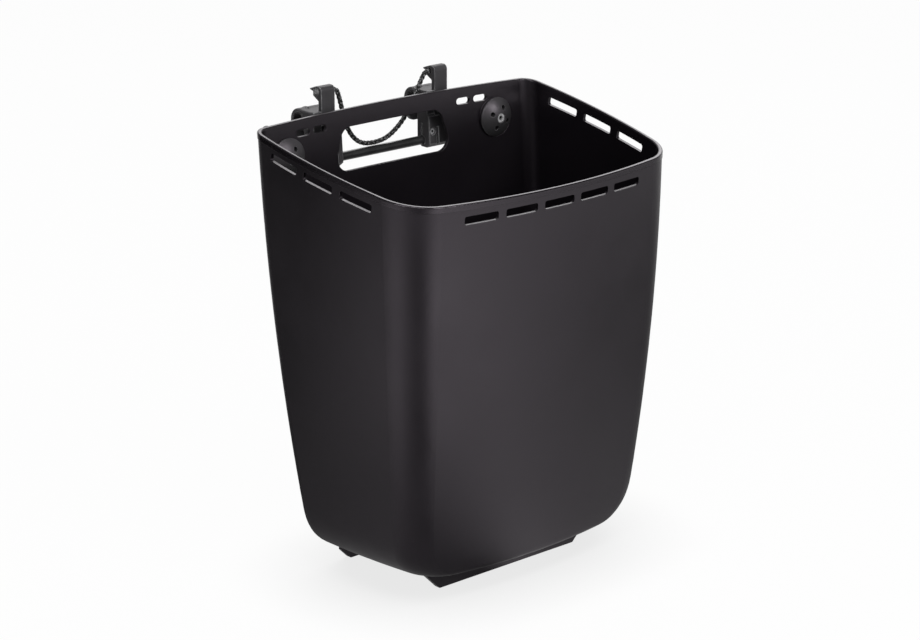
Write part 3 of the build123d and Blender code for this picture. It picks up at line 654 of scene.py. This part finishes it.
def melted_end(knot, face_x, way):
    """Add the melted button that closes a knot, a little uneven, in the mouth of the slider's hole."""
    knot.data.materials.append(rope_melt)
    form = bmesh.new()
    form.from_mesh(knot.data)
    woven = len(form.faces)
    place = Matrix.Translation((face_x - way * button_deep, rope_y, rope_top))
    place = place @ Matrix.Diagonal((*button_half, 1))
    bmesh.ops.create_uvsphere(form, u_segments=24, v_segments=14, radius=1.0, matrix=place)
    form.faces.ensure_lookup_table()
    for face in form.faces[woven:]:
        face.material_index = 1
        face.smooth = True
        for point in face.verts:
            if not point.tag:
                point.tag = True
                around = math.atan2(point.co.z - rope_top, point.co.y - rope_y)
                point.co.x -= way * button_uneven * math.sin(2 * around + 0.7)
    form.to_mesh(knot.data)
    form.free()


for name, face_x, way in (("left", -0.0681, -1), ("right", 0.0740, 1)):
    line = line_mesh("knot_line_" + name, knot_line(face_x, way))
    knot = braided("knot_" + name, line, {**rope_sizes, **knot_changes}, braid)
    melted_end(knot, face_x, way)
    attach(knot, "rope")
    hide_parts("rope_knot_" + name)

# %% [markdown]
# ## Studio
# The bucket stands on a white floor in front of a white backdrop. Black plastic shows mostly what it reflects, so the
# floor and the world have bright and dark sides: rings of grey by compass direction, close to the bucket, further off
# and at the walls of the room. The ring close to the bucket is darker on most sides: a painted shadow of the bucket.
# Each ring is a colour ramp over the angle, given as stops of degrees and grey.

# %% Bright and dark sides by direction
# The near ring's darker sides are a painted shadow of the bucket, seen in reflections of the floor.
near_shadow_stops = [
    (-180, 0.32), (-165, 0.34), (-152, 0.28), (-135, 0.24), (-122, 0.18), (-110, 0.14), (-98, 0.36), (-86, 0.70),
    (-74, 0.75), (-64, 0.63), (-54, 0.52), (-45, 0.46), (-35, 0.43), (-25, 0.36), (-10, 0.3), (20, 0.40),
    (60, 0.55), (90, 0.40), (108, 0.10), (130, 0.08), (140, 0.18), (152, 0.20), (165, 0.26), (180, 0.32),
]
floor_stops = [
    (-180, 0.95), (-165, 1.0), (-152, 0.62), (-135, 0.28), (-122, 0.26), (-110, 0.48), (-98, 1.3), (-86, 1.5),
    (-74, 1.1), (-64, 0.82), (-54, 0.58), (-45, 0.40), (-35, 0.28), (-25, 0.20), (-10, 0.2), (20, 0.45),
    (60, 0.70), (90, 0.50), (108, 0.10), (130, 0.08), (140, 0.20), (152, 0.42), (165, 0.72), (180, 0.95),
]
room_stops = [
    (-180, 0.45), (-150, 0.35), (-125, 0.25), (-100, 0.6), (-80, 0.95), (-45, 0.9), (-20, 0.6), (0, 0.7),
    (20, 1.0), (75, 1.0), (100, 0.3), (118, 0.0), (145, 0.0), (165, 0.3), (180, 0.45),
]
sky_stops = [
    (-180, 0.35), (-150, 0.30), (-120, 0.15), (-90, 0.15), (-45, 0.10), (-10, 0.2), (10, 0.6), (25, 1.0),
    (70, 1.0), (95, 0.4), (120, 0.15), (150, 0.2), (180, 0.35),
]


def side_light(tree, vector, stops):
    """A grey value by the compass direction of a vector, from stops of degrees and value."""
    parts = tree.nodes.new("ShaderNodeSeparateXYZ")
    tree.links.new(vector, parts.inputs[0])
    compass = math_node(tree, "ARCTAN2", parts.outputs["Y"], parts.outputs["X"])
    share = math_node(tree, "ADD", math_node(tree, "DIVIDE", compass, 2 * math.pi), 0.5)
    ramp = tree.nodes.new("ShaderNodeValToRGB")
    ramp.color_ramp.interpolation = "EASE"
    elements = ramp.color_ramp.elements
    while len(elements) > 1:
        elements.remove(elements[-1])
    for number, (degrees, value) in enumerate(stops):
        element = elements[0] if number == 0 else elements.new((degrees + 180) / 360)
        element.position = (degrees + 180) / 360
        element.color = (value, value, value, 1.0)
    tree.links.new(share, ramp.inputs[0])
    return ramp.outputs["Color"]


print("stops:", [len(stops) for stops in (near_shadow_stops, floor_stops, room_stops, sky_stops)])

# %% [markdown]
# ### Floor
# Reflections see the rings, and other light sees a matt white floor. The camera sees it white, with a painted shadow
# where the bucket shuts it in, and a small share of the matt floor so that the lamps' shadows show.

# %% Floor
floor_wide = 30.0
painted_shadow_reach = 0.1
painted_shadow_dark = 0.82
matt_share = 0.03
bpy.ops.mesh.primitive_plane_add(size=floor_wide)
floor = bpy.context.object
floor.name = "studio_floor"
floor_paint = bpy.data.materials.new("studio_floor")
floor_paint.use_nodes = True
tree = floor_paint.node_tree
tree.nodes.clear()
matt = tree.nodes.new("ShaderNodeBsdfDiffuse")
matt.inputs["Color"].default_value = (0.9, 0.9, 0.9, 1.0)
white = tree.nodes.new("ShaderNodeEmission")
glow = tree.nodes.new("ShaderNodeEmission")
place = object_point(tree)
reach = tree.nodes.new("ShaderNodeVectorMath")
reach.operation = "LENGTH"
tree.links.new(place, reach.inputs[0])
ring = side_light(tree, place, near_shadow_stops)
for stops, start, end in ((floor_stops, 0.3, 0.6), (room_stops, 1.2, 1.7)):
    further = map_range(tree, reach.outputs["Value"], start, end, 0.0, 1.0)
    ring = mix_colour(tree, further, ring, side_light(tree, place, stops))
tree.links.new(ring, glow.inputs["Color"])
# Painted shadow: the floor's white darkens where the bucket shuts it in.
shut_in = tree.nodes.new("ShaderNodeAmbientOcclusion")
shut_in.inputs["Distance"].default_value = painted_shadow_reach
tree.links.new(map_range(tree, shut_in.outputs["AO"], 0.3, 0.95, painted_shadow_dark, 1.0), white.inputs["Strength"])
rays = tree.nodes.new("ShaderNodeLightPath").outputs
mirror_ray = math_node(tree, "MAXIMUM", rays["Is Glossy Ray"], rays["Is Transmission Ray"])
seen = mix_shader(tree, matt_share, white, matt)
mirrored = mix_shader(tree, mirror_ray, matt, glow)
both = mix_shader(tree, rays["Is Camera Ray"], mirrored, seen)
output = tree.nodes.new("ShaderNodeOutputMaterial")
tree.links.new(both.outputs[0], output.inputs["Surface"])
floor.data.materials.append(floor_paint)
print("floor:", floor.name)

# %% [markdown]
# ### World
# The room continues above the horizon: the walls' ring first, then the sky's, which fades towards the top. The camera
# sees plain white.

# %% World
sky_from = 0.2
top_share = 0.15
world = bpy.data.worlds.new("studio_world")
scene.world = world
world.use_nodes = True
tree = world.node_tree
tree.nodes.clear()
white = tree.nodes.new("ShaderNodeBackground")
room = tree.nodes.new("ShaderNodeBackground")
heading = tree.nodes.new("ShaderNodeTexCoord").outputs["Generated"]
parts = tree.nodes.new("ShaderNodeSeparateXYZ")
tree.links.new(heading, parts.inputs[0])
upward = parts.outputs["Z"]
sky = mix_colour(tree, map_range(tree, upward, 0.0, sky_from, 0.0, 1.0), side_light(tree, heading, room_stops),
                 side_light(tree, heading, sky_stops))
tree.links.new(sky, room.inputs["Color"])
tree.links.new(map_range(tree, upward, 0.5, 0.85, 1.0, top_share), room.inputs["Strength"])
rays = tree.nodes.new("ShaderNodeLightPath").outputs
both = mix_shader(tree, rays["Is Camera Ray"], room, white)
output = tree.nodes.new("ShaderNodeOutputWorld")
tree.links.new(both.outputs[0], output.inputs["Surface"])
print("world:", world.name)

# %% [markdown]
# ### Lamps
# Four soft lamps: a key from the front right, a weak strip on the left, one above the near corner for the tops of the
# hooks, and one behind for the rim.

# %% Lamps
lamp_aim = Vector((0, 0, 0.22))
lamps = (
    ("key_softbox", (0.5, -2.2, 1.6), 1.0, 22.0),
    ("left_strip", (-1.9, -0.7, 1.2), 0.8, 6.0),
    ("top_softbox", (-0.75, -0.95, 2.1), 1.2, 15.0),
    ("back_softbox", (1.35, 1.20, 1.55), 1.2, 8.0),
)
for name, place, size, power in lamps:
    lamp_data = bpy.data.lights.new(name, "AREA")
    lamp_data.size = size
    lamp_data.energy = power
    lamp = bpy.data.objects.new(name, lamp_data)
    lamp.location = place
    lamp.rotation_euler = (lamp_aim - Vector(place)).to_track_quat("-Z", "Y").to_euler()
    scene.collection.objects.link(lamp)
print("lamps:", [name for name, *_ in lamps])
